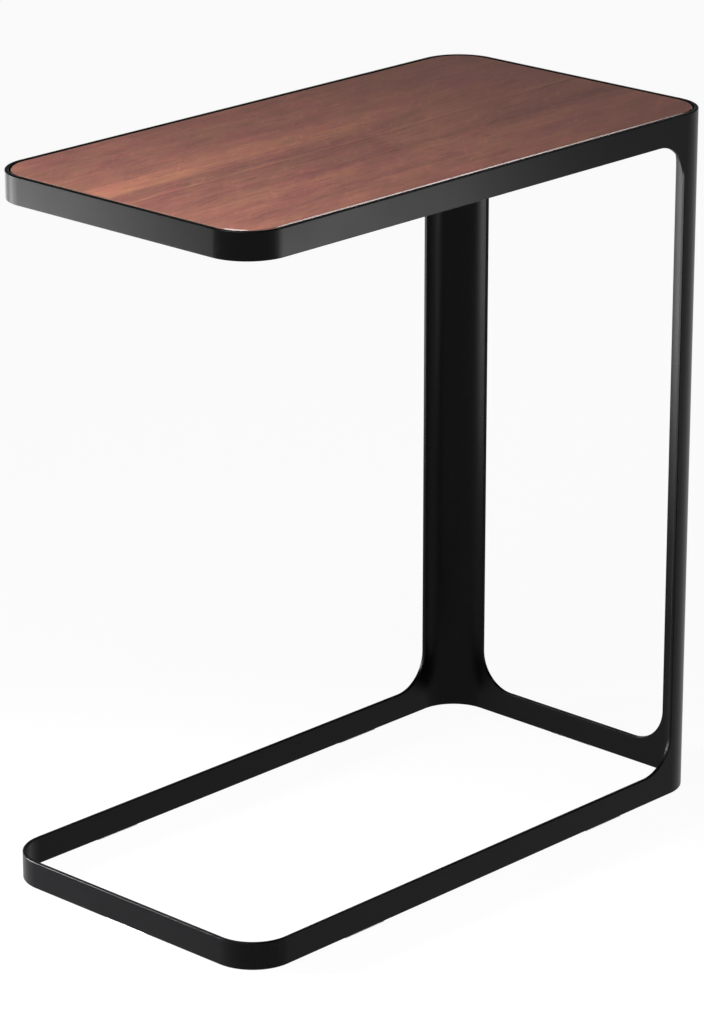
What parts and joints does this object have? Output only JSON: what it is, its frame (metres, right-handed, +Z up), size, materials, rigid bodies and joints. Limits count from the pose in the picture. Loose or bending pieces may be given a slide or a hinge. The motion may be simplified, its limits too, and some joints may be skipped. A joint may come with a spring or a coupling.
{
  "type": "side table",
  "caption": "C-shaped sofa side table: black sheet-steel bands at top and floor, joined by quarter-round legs at one end, with a walnut panel let flush into the upper band.",
  "frame": {"origin": "on the floor under the middle of the table", "axes": "+X from the open end towards the legs, +Y across the table, +Z up"},
  "size_m": [0.475, 0.25, 0.52],
  "materials": {
    "black_powder_coat": "satin powder coat on sheet steel",
    "walnut_veneer": "satin lacquer",
    "walnut_edging": "satin lacquer",
    "core_board": "bare fibreboard",
    "backing_laminate": "matt balancing laminate",
    "zinc_steel": "zinc plated",
    "glide_film": "milky low-friction film"
  },
  "bodies": {
    "root": {"base_hoop": "black_powder_coat", "base_end_bar": "black_powder_coat", "left_leg": "black_powder_coat", "right_leg": "black_powder_coat", "top_hoop": "black_powder_coat", "top_end_bar": "black_powder_coat", "panel_tab_1": "black_powder_coat", "panel_tab_2": "black_powder_coat", "panel_tab_3": "black_powder_coat", "panel_tab_4": "black_powder_coat", "panel_tab_5": "black_powder_coat", "panel_tab_6": "black_powder_coat", "backing_sheet": "backing_laminate", "panel_core": "core_board", "walnut_face": "walnut_veneer", "edge_band": "walnut_edging", "panel_screws": "zinc_steel", "floor_pad_1": "glide_film", "floor_pad_2": "glide_film", "floor_pad_3": "glide_film", "floor_pad_4": "glide_film", "floor_pad_5": "glide_film", "floor_pad_6": "glide_film"}
  },
  "joints": []
}
